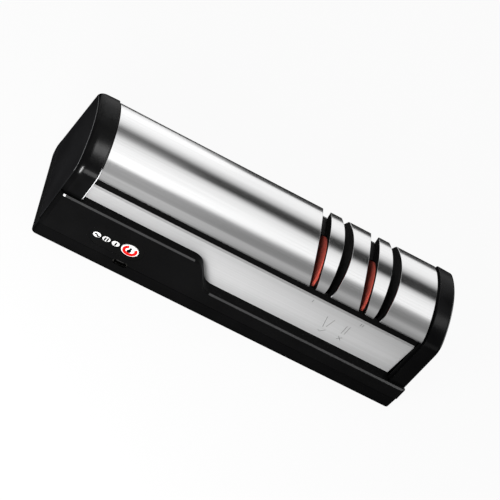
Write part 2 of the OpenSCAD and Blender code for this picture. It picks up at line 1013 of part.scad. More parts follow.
module board_screws() {
    head = board_screw_r;
    color("#8a8a8e")
        on_front()
            for (s = [-1, 1])
                translate([
                    board_x + s * board_screw_x,
                    board_low_h + board_h / 2 - seam_h,
                    board_set + board_t + head
                ])
                    mirror([0, 0, 1])
                        screw(head, head * screw_head_share, head, head + board_t + board_set / 2);
}

module tact_switch() {
    color("#3c3c3e")
        on_front()
            translate([button_x, button_h - seam_h, board_set - switch_h])
                difference() {
                    translate([-switch_w / 2, -switch_w / 2, 0])
                        cube([switch_w, switch_w, switch_h]);
                    translate([0, 0, -over])
                        cylinder(r = plunger_r + run_fit, h = over + switch_bore);
                }
}

module tact_plunger() {
    color("#e0e0e0")
        on_front()
            translate([button_x, button_h - seam_h, plunger_set])
                cylinder(r = plunger_r, h = plunger_l);
}

module indicator_leds() {
    color("#f0f0e0")
        on_front()
            for (i = [0 : 2])
                translate([lens_x(i) - led_l / 2, button_h - seam_h - led_w / 2, board_set - led_t])
                    cube([led_l, led_w, led_t]);
}

module indicator_lenses() {
    color("#f4f4f4")
        on_front()
            for (i = [0 : 2])
                translate([lens_x(i), button_h - seam_h, 0]) {
                    cylinder(r = lens_r, h = lens_t);
                    cylinder(r = pipe_r, h = board_set - led_t - led_gap);
                }
}

module control_panel() {
    color("#080808")
        difference() {
            on_front()
                difference() {
                    linear_extrude(panel_t)
                        panel_outline();
                    for (i = [0 : 2])
                        translate([lens_x(i), button_h - seam_h, -over])
                            cylinder(r = lens_r, h = 2 * over);
                }
            on_button(-over)
                cylinder(r = button_r + slip_fit, h = 2 * over);
        }
}

// Open ring of the power mark, in the button's own plane
module ring_outline() {
    difference() {
        circle(button_r * ring_out_share);
        circle(button_r * ring_in_share);
        polygon([
            [0, 0],
            2 * button_r * [-sin(ring_open / 2), cos(ring_open / 2)],
            2 * button_r * [sin(ring_open / 2), cos(ring_open / 2)]
        ]);
    }
}

module bar_mark() {
    translate([-bar_w / 2, -bar_w])
        square([bar_w, bar_l]);
}

module power_button() {
    color("#f2f2f2")
        on_button(0)
            difference() {
                union() {
                    translate([0, 0, -button_proud])
                        cylinder(r = button_r, h = button_proud + cover_t + flange_gap);
                    translate([0, 0, cover_t + flange_gap])
                        cylinder(r = flange_r, h = button_skirt);
                }
                translate([0, 0, -button_proud - over])
                    linear_extrude(over + mark_t) {
                        ring_outline();
                        bar_mark();
                    }
            }
}

module button_ring() {
    color("#d8281e")
        on_button(-button_proud)
            linear_extrude(mark_t)
                ring_outline();
}

module button_bar() {
    color("#101010")
        on_button(-button_proud)
            linear_extrude(mark_t)
                bar_mark();
}

module charge_board() {
    color("#1f5a3a")
        span(
            [usb_x - charge_l / 2, -half_d + wall, usb_z - usb_h / 2 - charge_t],
            [usb_x + charge_l / 2, -half_d + wall + charge_w, usb_z - usb_h / 2]
        );
}

// Rounded outline of the socket, in X and Z about its middle
module usb_outline(set) {
    r = usb_h / 2 - set;
    for (s = [-1, 1])
        translate([s * (usb_w - usb_h) / 2, 0])
            circle(r);
    square([usb_w - usb_h, 2 * r], center = true);
}

module usb_socket() {
    front = -half_d + usb_in;
    color("#9c9ca0")
        translate([usb_x, 0, usb_z])
            difference() {
                along_y(front, front + usb_l)
                    usb_outline(0);
                along_y(front - over, front + usb_l - usb_wall)
                    usb_outline(usb_wall);
            }
}

module usb_tongue() {
    front = -half_d + usb_in;
    width = (usb_w - usb_h) * (1 + tongue_share) / 2;
    color("#101010")
        span(
            [usb_x - width / 2, front + usb_l * (1 - tongue_share) / 2, usb_z - tongue_t / 2],
            [usb_x + width / 2, front + usb_l - usb_wall, usb_z + tongue_t / 2]
        );
}

module rubber_feet() {
    color("#202020")
        for (p = foot_places)
            translate([p[0], p[1], 0])
                cylinder(r = foot_r, h = foot_proud + foot_recess);
}

module case_screws() {
    color("#4a4a4e")
        for (p = screw_places)
            translate([p[0], p[1], base_z + case_head_l - case_head_t])
                screw(case_screw_r, case_head_r, case_head_t, seam_h + cap_post_l / 2);
}

base_pan();
front_cover();
back_cover();
left_end_cap();
right_end_cap();
steel_dome();
front_plate();
groove_strip();
inner_frame();
plate_frame();
fine_guide();
coarse_guide();
bay_walls();
swarf_hatch();
swarf_magnet();
spindle_bearings();
spindle();
spindle_clips();
wheel_hubs();
fine_wheels();
coarse_wheels();
shaft_coupling();
motor_armature();
motor_can();
motor_end_bell();
motor_bracket();
motor_screws();
battery_cells();
battery_cradle();
cell_tabs();
control_board();
board_screws();
tact_switch();
tact_plunger();
indicator_leds();
indicator_lenses();
control_panel();
power_button();
button_ring();
button_bar();
charge_board();
usb_socket();
usb_tongue();
rubber_feet();
case_screws();
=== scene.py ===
import json
import math

import bmesh
import bpy
from mathutils import Matrix, Vector


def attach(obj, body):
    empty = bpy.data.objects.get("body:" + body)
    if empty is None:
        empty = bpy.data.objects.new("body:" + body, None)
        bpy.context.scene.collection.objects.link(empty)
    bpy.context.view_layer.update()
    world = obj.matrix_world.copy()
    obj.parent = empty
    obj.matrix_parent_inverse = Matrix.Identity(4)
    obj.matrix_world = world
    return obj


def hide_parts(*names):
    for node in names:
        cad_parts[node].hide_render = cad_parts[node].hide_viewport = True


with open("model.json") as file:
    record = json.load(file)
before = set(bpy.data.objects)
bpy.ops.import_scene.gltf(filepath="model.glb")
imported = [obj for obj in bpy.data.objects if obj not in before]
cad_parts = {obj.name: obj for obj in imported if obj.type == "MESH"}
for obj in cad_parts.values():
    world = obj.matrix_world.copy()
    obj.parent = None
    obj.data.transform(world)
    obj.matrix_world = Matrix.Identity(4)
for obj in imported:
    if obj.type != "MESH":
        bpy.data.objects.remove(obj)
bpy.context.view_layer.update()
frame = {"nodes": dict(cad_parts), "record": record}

# Sizes repeated from the part's source, in millimetres
MM = 0.001
body_l, body_d, body_h = 240, 68, 65.2
seam_h = 9.5
front_lean, back_lean = 6, 0.5
dome_r = 0.838 * body_d
crown_set = 0.594 * body_d
dome_front_r, dome_back_r = 11, 3
wall = 2.4
corner_r = 2.5
left_cap_w, right_cap_w = 14, 12.5
cap_set = 2.9
cover_t = 2.6
ledge_high, ledge_low = 36, 18.6
ledge_fall, ledge_r, ledge_slope = 86, 9, 58
lip_t = 2.2
dome_t, dome_set = 0.8, 1
plate_t, plate_set, plate_tuck = 1, 5.6, 1.8
stage_end, stage_gap = 48, 33.3
slot_outer, slot_inner = 11.6, 5
outer_lean, inner_lean = 18.8, 9.7
usb_w, usb_h = 8.94, 3.26
foot_proud, foot_r = 1, 6
foot_in_x, foot_in_y = 25, 12
screw_in, screw_hole_r = 8, 3.05

# Sizes of the finer forms that are made here
pan_bevel, pan_back_r = 0.5, 5.2
cap_back_r = 5.5
least_r = 0.05
chamfer = 0.95
# Where the painted glint and then the painted highlight start along the cover's top edge, past its rounded
# corner
lit_from, lit_to = -0.3, 1.1
plate_chamfer = 1.2
button_end, button_h, button_r, button_flat = 52.6, 21.15, 5.3, 0.765
button_gap = 0.3
lens_r, lens_pitch, lens_start, lens_drop = 2.45, 6, 9, 0.3
panel_shift, panel_w, panel_h = 8.5, 33.6, 13.8
recess_w, recess_h = 33.8, 14

half_l, half_d = body_l / 2, body_d / 2
base_z = foot_proud
seam_z = base_z + seam_h
crown_z = base_z + body_h
left_in, right_in = left_cap_w - half_l, half_l - right_cap_w
coarse_x = half_l - stage_end
fine_x = coarse_x - stage_gap
slot_back_z = base_z + 0.8 * body_h
dome_front_z = slot_back_z + 0.4
dome_back_z = base_z + 0.66 * body_h
button_x, button_u = button_end - half_l, button_h - seam_h
panel_x = button_x - panel_shift
lens_xs = [button_x - lens_start - i * lens_pitch for i in range(3)]
lens_u = button_u - lens_drop
usb_x, usb_z = button_x + 0.1, seam_z - 0.5

# The ledge's slope and where it ends, and the lean of the front
slope_sin, slope_cos = math.sin(math.radians(ledge_slope)), math.cos(math.radians(ledge_slope))
ledge_x = ledge_fall - half_l
fall_l = (ledge_high - ledge_low - 2 * ledge_r * (1 - slope_cos)) / slope_sin
ledge_end_x = ledge_x + 2 * ledge_r * slope_sin + fall_l * slope_cos
lean = math.radians(front_lean)
lean_sin, lean_cos, lean_tan = math.sin(lean), math.cos(lean), math.tan(lean)


def polar(r, degrees):
    return Vector((r * math.cos(math.radians(degrees)), r * math.sin(math.radians(degrees))))


def between(a, b, steps):
    return [a + (b - a) * i / steps for i in range(steps + 1)]


# Centres of the dome's arc and of the two arcs that roll into the faces, as (y, z)
dome_c = Vector((crown_set - half_d, crown_z - dome_r))


def roll_centre(foot, along, inward, r):
    """Centre of an arc that touches a face, given by its foot and direction, and the dome's arc."""
    w = foot + r * inward - dome_c
    k = dome_r - r
    return foot + r * inward + along * (-w.dot(along) + math.sqrt(w.dot(along) ** 2 - w.dot(w) + k * k))


def back_roll(r):
    return roll_centre(Vector((half_d, seam_z)), polar(1, 90 + back_lean), polar(1, 180 + back_lean), r)


def dome_angle(centre):
    """Angle on the dome where its arc meets the arc about another centre."""
    return math.degrees(math.atan2(centre.y - dome_c.y, centre.x - dome_c.x))


front_foot = Vector((cap_set / lean_cos - half_d, seam_z))
front_c = roll_centre(front_foot, polar(1, 90 - front_lean), polar(1, -front_lean), dome_front_r)
back_c = back_roll(dome_back_r)
front_a, back_a = dome_angle(front_c), dome_angle(back_c)


def front_y(z, inset):
    return -half_d + (cap_set + inset) / lean_cos + (z - seam_z) * lean_tan


def back_y(z, inset):
    tilt = math.radians(back_lean)
    return half_d - inset / math.cos(tilt) - (z - seam_z) * math.tan(tilt)


def arc(centre, r, start, end, steps):
    return [centre + polar(r, a) for a in between(start, end, steps)]


def profile(inset, back_r):
    """The case's outline set in by a distance, from the foot of the front to the foot of the back."""
    turn_c = back_roll(back_r)
    turn_a = dome_angle(turn_c)
    points = [Vector((front_y(seam_z, inset), seam_z))]
    points += arc(front_c, dome_front_r - inset, 180 - front_lean, front_a, 18)
    points += arc(dome_c, dome_r - inset, front_a, turn_a, 48)[1:]
    points += arc(turn_c, max(back_r - inset, least_r), turn_a, back_lean, 12)[1:]
    points.append(Vector((back_y(seam_z, inset), seam_z)))
    return points


def on_front(x, u, d):
    """A place on the leaning front: x, height over the seam along the face, depth behind the face."""
    return (x, -half_d + u * lean_sin + d * lean_cos, seam_z + u * lean_cos - d * lean_sin)


# Upright face of the plate, and how far the ledge falls to it
plate_top_u = (0.74 * body_h - seam_h) / lean_cos
plate_y = -half_d + plate_top_u * lean_sin + plate_set * lean_cos
plate_top_z = seam_z + plate_top_u * lean_cos - plate_set * lean_sin
ledge_sag = (plate_y + half_d) * lean_sin / lean_cos


def on_plate(x, h, d):
    """A place on the upright plate: x, height over the seam, depth behind its face."""
    return (x, plate_y + d, seam_z + h)


def along_y(x, z, y):
    return (x, y, z)


def along_z(x, y, z):
    return (x, y, z)


def outer_at(z):
    return slot_outer - (crown_z - z) * math.tan(math.radians(outer_lean))


def inner_at(z):
    return slot_inner - (crown_z - z) * math.tan(math.radians(inner_lean))


# Mesh helpers
def new_object(name, vertices, faces, smooth=True):
    mesh = bpy.data.meshes.new(name)
    mesh.from_pydata([Vector(v) * MM for v in vertices], [], faces)
    mesh.validate()
    mesh.update()
    for polygon in mesh.polygons:
        polygon.use_smooth = smooth
    obj = bpy.data.objects.new(name, mesh)
    bpy.context.scene.collection.objects.link(obj)
    return obj


def face_out(obj):
    """Turns all faces of a closed mesh outwards."""
    bm = bmesh.new()
    bm.from_mesh(obj.data)
    bmesh.ops.recalc_face_normals(bm, faces=bm.faces)
    bm.to_mesh(obj.data)
    bm.free()


def bake(obj):
    """Applies the modifiers of a piece."""
    deps = bpy.context.evaluated_depsgraph_get()
    deps.update()
    final = obj.evaluated_get(deps)
    mesh = bpy.data.meshes.new_from_object(final, preserve_all_data_layers=True, depsgraph=deps)
    obj.modifiers.clear()
    obj.data = mesh


def bevel(obj, width, angle):
    """Rounds the edges that turn by more than an angle."""
    mod = obj.modifiers.new("edges", "BEVEL")
    mod.width = width * MM
    mod.segments = 2
    mod.limit_method = "ANGLE"
    mod.angle_limit = math.radians(angle)
    mod.harden_normals = True
    mod.miter_outer = "MITER_ARC"


def bevel_marked(obj, width):
    """Chamfers the edges that carry a bevel weight."""
    mod = obj.modifiers.new("marked", "BEVEL")
    mod.width = width * MM
    mod.segments = 1
    mod.limit_method = "WEIGHT"


def mark_edges(obj, choose):
    """Sets a bevel weight on each edge from its two ends, in millimetres."""
    bm = bmesh.new()
    bm.from_mesh(obj.data)
    layer = bm.edges.layers.float.new("bevel_weight_edge")
    for edge in bm.edges:
        edge[layer] = choose(edge.verts[0].co / MM, edge.verts[1].co / MM)
    bm.to_mesh(obj.data)
    bm.free()


def cut(obj, cutter, operation="DIFFERENCE"):
    mod = obj.modifiers.new("cut", "BOOLEAN")
    mod.object = cutter
    mod.operation = operation
    mod.solver = "EXACT"
    bake(obj)
    bpy.data.objects.remove(cutter, do_unlink=True)


def sharp_smooth(obj, angle):
    """Smooth faces with their edges kept sharp over an angle."""
    for polygon in obj.data.polygons:
        polygon.use_smooth = True
    obj.data.set_sharp_from_angle(angle=math.radians(angle))


def prism(name, outline, place, d0, d1):
    """A solid with an outline of (a, b) points, between two depths; place(a, b, d) gives the point."""
    n = len(outline)
    vertices = [place(a, b, d0) for a, b in outline] + [place(a, b, d1) for a, b in outline]
    faces = [list(range(n)), list(range(2 * n - 1, n - 1, -1))]
    faces += [[i, i + n, (i + 1) % n + n, (i + 1) % n] for i in range(n)]
    obj = new_object(name, vertices, faces, smooth=False)
    face_out(obj)
    return obj


def loft(loops, closed=True):
    """Vertices and faces of a skin over loops with the same number of points, with flat ends."""
    n = len(loops[0])
    vertices = [p for loop in loops for p in loop]
    faces = []
    last = n if closed else n - 1
    for k in range(len(loops) - 1):
        for i in range(last):
            j = (i + 1) % n
            faces.append([k * n + i, k * n + j, (k + 1) * n + j, (k + 1) * n + i])
    faces.append(list(range(n)))
    faces.append(list(range(len(vertices) - 1, len(vertices) - n - 1, -1)))
    return vertices, faces


def circle(cx, cy, r, steps=64):
    turns = [2 * math.pi * i / steps for i in range(steps)]
    return [(cx + r * math.cos(a), cy + r * math.sin(a)) for a in turns]


def oval(cx, cy, r, steps=64):
    """A circle pressed flat like the button."""
    return [(x, cy + button_flat * (y - cy)) for x, y in circle(cx, cy, r, steps)]


def capsule(cx, cy, length, height, steps=24):
    """Outline of a bar with round ends, about its middle."""
    r = height / 2
    points = []
    for side, start in ((1, -0.5), (-1, 0.5)):
        end_x = cx + side * length / 2 - side * r
        for a in between(start * math.pi, (start + 1) * math.pi, steps):
            points.append((end_x + r * math.cos(a), cy + r * math.sin(a)))
    return points


def cut_controls(obj, lens_gap):
    """Cuts the holes of the button and of the three lenses."""
    cut(obj, prism("cut", oval(button_x, button_u, button_r + button_gap), on_front, -5, 9))
    for x in lens_xs:
        cut(obj, prism("cut", oval(x, lens_u, lens_r + lens_gap), on_front, -5, 9))


def cut_port(obj):
    """Cuts the hole of the charging port."""
    hole = capsule(usb_x, usb_z, usb_w + 0.5, usb_h + 0.5)
    cut(obj, prism("cut", hole, along_y, -half_d - 5, -half_d + 8))


# Material helpers
noise_low, noise_high = 0.35, 0.65


def new_material(name, **values):
    """A material with values set on its shader's sockets, where _ stands for a space."""
    mat = bpy.data.materials.new(name)
    mat.use_nodes = True
    tree = mat.node_tree
    bsdf = tree.nodes["Principled BSDF"]
    for key, value in values.items():
        bsdf.inputs[key.replace("_", " ")].default_value = value
    return mat, tree, bsdf


def bare_material(name):
    """A material whose tree holds only its output, with the output's surface socket."""
    mat = bpy.data.materials.new(name)
    mat.use_nodes = True
    tree = mat.node_tree
    tree.nodes.clear()
    return mat, tree, tree.nodes.new("ShaderNodeOutputMaterial").inputs["Surface"]


def add_materials(obj, *materials):
    for mat in materials:
        obj.data.materials.append(mat)


def object_axes(tree):
    coord = tree.nodes.new("ShaderNodeTexCoord")
    split = tree.nodes.new("ShaderNodeSeparateXYZ")
    tree.links.new(coord.outputs["Object"], split.inputs["Vector"])
    return split.outputs


def noise(tree, scale, detail=3.0, rough=0.5):
    """Noise in the object's own metres, stretched by a scale per axis."""
    coord = tree.nodes.new("ShaderNodeTexCoord")
    mapping = tree.nodes.new("ShaderNodeMapping")
    mapping.inputs["Scale"].default_value = scale
    node = tree.nodes.new("ShaderNodeTexNoise")
    node.inputs["Scale"].default_value = 1.0
    node.inputs["Detail"].default_value = detail
    node.inputs["Roughness"].default_value = rough
    tree.links.new(coord.outputs["Object"], mapping.inputs["Vector"])
    tree.links.new(mapping.outputs["Vector"], node.inputs["Vector"])
    return node.outputs["Fac"]


def map_range(tree, value, start, end, low, high):
    node = tree.nodes.new("ShaderNodeMapRange")
    node.inputs["From Min"].default_value = start
    node.inputs["From Max"].default_value = end
    node.inputs["To Min"].default_value = low
    node.inputs["To Max"].default_value = high
    tree.links.new(value, node.inputs["Value"])
    return node.outputs["Result"]


def spread_noise(tree, value, low, high):
    """Maps the usual values of a noise to a range."""
    return map_range(tree, value, noise_low, noise_high, low, high)


def ramp(tree, value, stops):
    node = tree.nodes.new("ShaderNodeValToRGB")
    elements = node.color_ramp.elements
    while len(elements) < len(stops):
        elements.new(0.5)
    for element, (place, colour) in zip(elements, stops):
        element.position = place
        element.color = (*colour, 1)
    tree.links.new(value, node.inputs["Fac"])
    return node.outputs["Color"]


def math_node(tree, operation, first, second=0.0):
    """A Math node; each input is a link or a number."""
    node = tree.nodes.new("ShaderNodeMath")
    node.operation = operation
    for socket, value in zip(node.inputs, (first, second)):
        if isinstance(value, (int, float)):
            socket.default_value = value
        else:
            tree.links.new(value, socket)
    return node.outputs["Value"]


def bump(tree, bsdf, value, strength, distance, under=None):
    node = tree.nodes.new("ShaderNodeBump")
    node.inputs["Strength"].default_value = strength
    node.inputs["Distance"].default_value = distance
    tree.links.new(value, node.inputs["Height"])
    if under is not None:
        tree.links.new(under, node.inputs["Normal"])
    tree.links.new(node.outputs["Normal"], bsdf.inputs["Normal"])
    return node.outputs["Normal"]


def brushed(name, dark, light, metallic, low_rough, high_rough, strength, foot=1.0, head=1.0):
    """Steel brushed along X, in thin streaks of tone, gloss and height.

    The tone is multiplied by foot at the low ledge and by head at the plate's top: painted light and shade,
    lighter at the foot and darker at the top.
    """
    mat, tree, bsdf = new_material(name, Metallic=metallic)
    fine = noise(tree, (18, 2600, 2600), 4.0, 0.6)
    broad = noise(tree, (7, 1100, 1100), 4.0, 0.6)
    tones = ramp(tree, broad, [(0.3, (dark,) * 3), (0.7, (light, light, light * 1.005))])
    # Painted light and shade: the tone is scaled by height between the low ledge and the plate's top
    level = map_range(tree, object_axes(tree)["Z"], ledge_low * MM, plate_top_z * MM, foot, head)
    painted_shading = tree.nodes.new("ShaderNodeVectorMath")
    painted_shading.operation = "SCALE"
    tree.links.new(tones, painted_shading.inputs[0])
    tree.links.new(level, painted_shading.inputs["Scale"])
    tree.links.new(painted_shading.outputs["Vector"], bsdf.inputs["Base Color"])
    tree.links.new(spread_noise(tree, fine, low_rough, high_rough), bsdf.inputs["Roughness"])
    first = bump(tree, bsdf, broad, strength, 0.00002)
    bump(tree, bsdf, fine, strength, 0.000008, first)
    return mat


def plastic(name, colour, rough, specular, grain=2600, strength=0.25, depth=0.00002, spread=0.05):
    """Moulded plastic with a fine spark grain, a soft change of gloss and a faint change of tone."""
    mat, tree, bsdf = new_material(name, Specular_IOR_Level=specular)
    cloud = noise(tree, (45, 45, 45), 2.0)
    grains = noise(tree, (grain, grain, grain), 2.0, 0.6)
    lighter = tuple(min(c * 1.35 + 0.0006, 1) for c in colour)
    tree.links.new(ramp(tree, cloud, [(0.3, colour), (0.75, lighter)]), bsdf.inputs["Base Color"])
    tree.links.new(spread_noise(tree, cloud, rough - spread, rough + spread), bsdf.inputs["Roughness"])
    bump(tree, bsdf, grains, strength, depth)
    return mat


def metal(name, colour, rough, grain=(900, 900, 900), strength=0.1):
    """Bare metal with a faint change of tone and a grain stretched by a scale per axis."""
    mat, tree, bsdf = new_material(name, Metallic=1.0)
    cloud = noise(tree, (60, 60, 60))
    lines = noise(tree, grain)
    darker = tuple(c * 0.86 for c in colour)
    tree.links.new(ramp(tree, cloud, [(0.3, darker), (0.7, colour)]), bsdf.inputs["Base Color"])
    tree.links.new(spread_noise(tree, lines, rough * 0.75, rough * 1.25), bsdf.inputs["Roughness"])
    bump(tree, bsdf, lines, strength, 0.00002)
    return mat


def grit(name):
    """Bonded abrasive: red bond with pale and dark grains standing out of it."""
    mat, tree, bsdf = new_material(name, Specular_IOR_Level=0.3)
    grains = noise(tree, (2600, 2600, 2600), 4.0, 0.7)
    patches = noise(tree, (260, 260, 260))
    bond = [(0.30, (0.30, 0.025, 0.018)), (0.48, (0.62, 0.075, 0.05))]
    pale = [(0.62, (0.78, 0.16, 0.11)), (0.74, (0.9, 0.5, 0.42))]
    base = ramp(tree, grains, bond + pale)
    tone = ramp(tree, patches, [(0.3, (0.72, 0.72, 0.72)), (0.7, (1, 1, 1))])
    mix = tree.nodes.new("ShaderNodeMix")
    mix.data_type = "RGBA"
    mix.blend_type = "MULTIPLY"
    mix.inputs["Factor"].default_value = 1.0
    tree.links.new(base, mix.inputs["A"])
    tree.links.new(tone, mix.inputs["B"])
    tree.links.new(mix.outputs["Result"], bsdf.inputs["Base Color"])
    tree.links.new(spread_noise(tree, grains, 0.7, 0.95), bsdf.inputs["Roughness"])
    bump(tree, bsdf, grains, 0.6, 0.0001)
    return mat


dome_steel = brushed("dome_steel", 0.66, 0.71, 1.0, 0.1, 0.17, 0.12)
# The plate's steel is painted lighter at its foot and darker at its top: painted light and shade
plate_steel = brushed("plate_steel", 0.49, 0.54, 0.3, 0.34, 0.44, 0.3, 1.36, 0.77)
# A darker copy of the plate's steel for its top chamfer: painted shade
plate_rim_painted_shade = brushed("plate_rim_painted_shade", 0.3, 0.35, 0.3, 0.34, 0.44, 0.3)
# A bright copy of the steel for thin edges: painted highlights and a painted glint
painted_glint = brushed("painted_glint", 0.86, 0.9, 0.25, 0.3, 0.4, 0.1)
case_black = plastic("case_black", (0.0024, 0.0024, 0.0025), 0.42, 0.02)
# The left cap's black, far darker than the case's: painted shade that holds back the lamps kept to this cap
cap_black = plastic("cap_black", (0.0002, 0.0002, 0.00022), 0.22, 0.03, spread=0.03)
# A grey for a thin line along the caps' end face edge: painted highlight
painted_edge_line = plastic("painted_edge_line", (0.03, 0.03, 0.031), 0.4, 0.3)
# A lighter copy of the cap's black for the left end face: painted light
cap_face_painted_light = plastic("cap_face_painted_light", (0.0021, 0.0021, 0.0023), 0.5, 0.02)
# A lighter black for the pan's ends and the right end face: painted light where the cap lamps don't reach
end_face_painted_light = plastic("end_face_painted_light", (0.0085, 0.0085, 0.0087), 0.5, 0.03)
# A lighter copy of the left cap's black for the right cap: painted light
right_cap_painted_light = plastic("right_cap_painted_light", (0.0014, 0.0014, 0.0015), 0.26, 0.03)
# A grey for the left cap's rounded edge beside the steel: painted highlight
painted_rim_highlight = plastic("painted_rim_highlight", (0.1, 0.1, 0.102), 0.5, 0.1)
pan_black = plastic("pan_black", (0.0018, 0.0018, 0.0019), 0.46, 0.015)
# A lighter, glossy copy of the case's black for the top edge's chamfer: painted highlight, with real gloss
edge_painted_highlight = plastic("edge_painted_highlight", (0.014, 0.014, 0.0145), 0.4, 0.8)
dull_black = plastic("dull_black", (0.002, 0.002, 0.002), 0.7, 0.02, grain=1800, strength=0.4)
gloss_black = plastic("gloss_black", (0.0022, 0.0022, 0.0022), 0.12, 0.03, strength=0.03, spread=0.02)
gloss_white = plastic("gloss_white", (0.7, 0.7, 0.69), 0.25, 0.2, grain=1500, strength=0.03, spread=0.03)
mark_red = plastic("mark_red", (0.78, 0.004, 0.003), 0.4, 0.08, strength=0.03)
mark_black = plastic("mark_black", (0.002, 0.002, 0.002), 0.45, 0.02, strength=0.03)
etched = metal("etched", (0.28, 0.28, 0.28), 0.5)
rubber = plastic("foot_rubber", (0.02, 0.02, 0.02), 0.75, 0.2, grain=1400, strength=0.5)
# The port's steel is near black: painted shade in its recess
port_metal_painted_shade = metal("port_metal_painted_shade", (0.07, 0.068, 0.062), 0.3)
red_grit = grit("red_grit")

# A CAD node's own finish, by the record's material slot
finishes = {
    "case_black": case_black,
    "cap_black": cap_black,
    "inner_black": dull_black,
    "brushed_steel": dome_steel,
    "plate_steel": plate_steel,
    "ruby_grit": red_grit,
    "hub_alloy": metal("hub_alloy", (0.58, 0.58, 0.6), 0.3, (300, 2400, 2400)),
    "shaft_steel": metal("shaft_steel", (0.62, 0.62, 0.64), 0.16, (2400, 300, 300)),
    "bearing_steel": metal("bearing_steel", (0.7, 0.7, 0.71), 0.14, (2400, 300, 300)),
    "coupling_brass": metal("coupling_brass", (0.62, 0.44, 0.18), 0.25, (2400, 300, 300)),
    "can_steel": metal("can_steel", (0.5, 0.5, 0.52), 0.28, (60, 900, 900)),
    "winding": metal("winding", (0.48, 0.2, 0.08), 0.34, (3200, 200, 200), 0.5),
    "bell_plastic": plastic("bell_plastic", (0.012, 0.012, 0.012), 0.5, 0.3),
    "bracket_steel": metal("bracket_steel", (0.42, 0.42, 0.4), 0.4, (500, 500, 500)),
    "screw_steel": metal("screw_steel", (0.16, 0.16, 0.17), 0.35, (800, 800, 800)),
    "cell_sleeve": plastic("cell_sleeve", (0.02, 0.09, 0.2), 0.24, 0.5, strength=0.04),
    "cradle_plastic": plastic("cradle_plastic", (0.015, 0.015, 0.015), 0.5, 0.3),
    "nickel": metal("nickel", (0.62, 0.58, 0.5), 0.25),
    "board_green": plastic("board_green", (0.012, 0.1, 0.04), 0.3, 0.5, grain=900, strength=0.1),
    "switch_black": plastic("switch_black", (0.01, 0.01, 0.01), 0.3, 0.4),
    "led_white": plastic("led_white", (0.7, 0.68, 0.5), 0.25, 0.5),
    "lens_white": gloss_white,
    "panel_gloss": gloss_black,
    "button_white": gloss_white,
    "mark_red": mark_red,
    "mark_black": mark_black,
    "port_steel": port_metal_painted_shade,
    "foot_rubber": rubber,
    "magnet": metal("magnet", (0.2, 0.2, 0.2), 0.6, (700, 700, 700), 0.4),
}
for subpart in frame["record"]["subparts"]:
    node = frame["nodes"][subpart["node"]]
    mat = finishes[subpart["material_slot"]]
    if not node.material_slots:
        node.data.materials.append(mat)
    for material_slot in node.material_slots:
        material_slot.material = mat


def finish_piece(obj, mat, body, slot, *nodes):
    """Gives a piece its body, and its material if it has none, and hides the CAD nodes it stands for."""
    if not obj.data.materials:
        obj.data.materials.append(mat)
    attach(obj, body)
    if nodes:
        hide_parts(*nodes)


# Steel dome: rows follow the profile and columns run between the slots
dome_columns = 10
dome_rim_top = 62


def dome_rows():
    """Places down the profile as (centre, radius, angle), from the dome's front edge to its back face."""
    start = 180 - math.degrees(math.asin((dome_front_z - front_c.y) / (dome_front_r - dome_set)))
    rows = [(front_c, dome_front_r, a) for a in between(start, front_a, 16)]
    rows += [(dome_c, dome_r, a) for a in between(front_a, back_a, 64)[1:]]
    rows += [(back_c, dome_back_r, a) for a in between(back_a, back_lean, 8)[1:]]
    return rows


def build_dome():
    rows = dome_rows()
    drops = [slot_back_z + 2, slot_back_z, slot_back_z - 3, dome_back_z + 1, dome_back_z]
    skins = []
    for inset in (dome_set, dome_set + dome_t):
        line = [c + polar(max(r - inset, least_r), a) for c, r, a in rows]
        line += [Vector((back_y(z, inset), z)) for z in drops]
        skins.append(line)
    count = len(skins[0])
    slot_end = len(rows) + 1
    vertices = []
    for line in skins:
        for i, p in enumerate(line):
            z = p.y if i < slot_end else slot_back_z
            columns = [left_in - 0.2]
            for x in (fine_x, coarse_x):
                columns += [x - outer_at(z), x - inner_at(z), x + inner_at(z), x + outer_at(z)]
            columns.append(right_in + 0.6)
            vertices += [(x, p.x, p.y) for x in columns]
    width = dome_columns
    depth = count * width
    faces = []

    def solid(i, j):
        return i >= slot_end or j % 2 == 0

    for i in range(count - 1):
        for j in range(width - 1):
            if not solid(i, j):
                continue
            a = i * width + j
            quad = [a, a + 1, a + width + 1, a + width]
            faces.append(quad)
            faces.append([depth + v for v in reversed(quad)])
            if i == 0:
                faces.append([a + 1, a, depth + a, depth + a + 1])
            if i == count - 2:
                faces.append([a + width, a + width + 1, depth + a + width + 1, depth + a + width])
            if i == slot_end and j % 2:
                faces.append([a + 1, a, depth + a, depth + a + 1])
            if j == 0 or not solid(i, j - 1):
                faces.append([a, a + width, depth + a + width, depth + a])
            if j == width - 2 or not solid(i, j + 1):
                faces.append([a + width + 1, a + 1, depth + a + 1, depth + a + width + 1])
    dome = new_object("dome_skin", vertices, faces)
    face_out(dome)
    bevel(dome, 0.16, 50)
    bake(dome)
    return dome


dome = build_dome()
add_materials(dome, dome_steel, painted_glint)
# Painted highlight: the dome's front edge faces beside the caps take the bright steel
for polygon in dome.data.polygons:
    place = polygon.center / MM
    at_end = place.x < left_in or place.x > right_in + 0.3
    if at_end and abs(polygon.normal.x) > 0.2 and place.z < dome_rim_top and place.y < 0:
        polygon.material_index = 1
finish_piece(dome, dome_steel, "housing", "brushed_steel", "steel_dome")

# End caps: the end face rolls into the band, and the band turns in at the seam beside the steel
roll_start = 12
# Where the painted highlight line along the end face's edge stops, at the back and at the foot
line_back, line_foot = 28, 34
# Top of the painted highlight along the left cap's edge beside the steel
cap_rim_top = 57.5


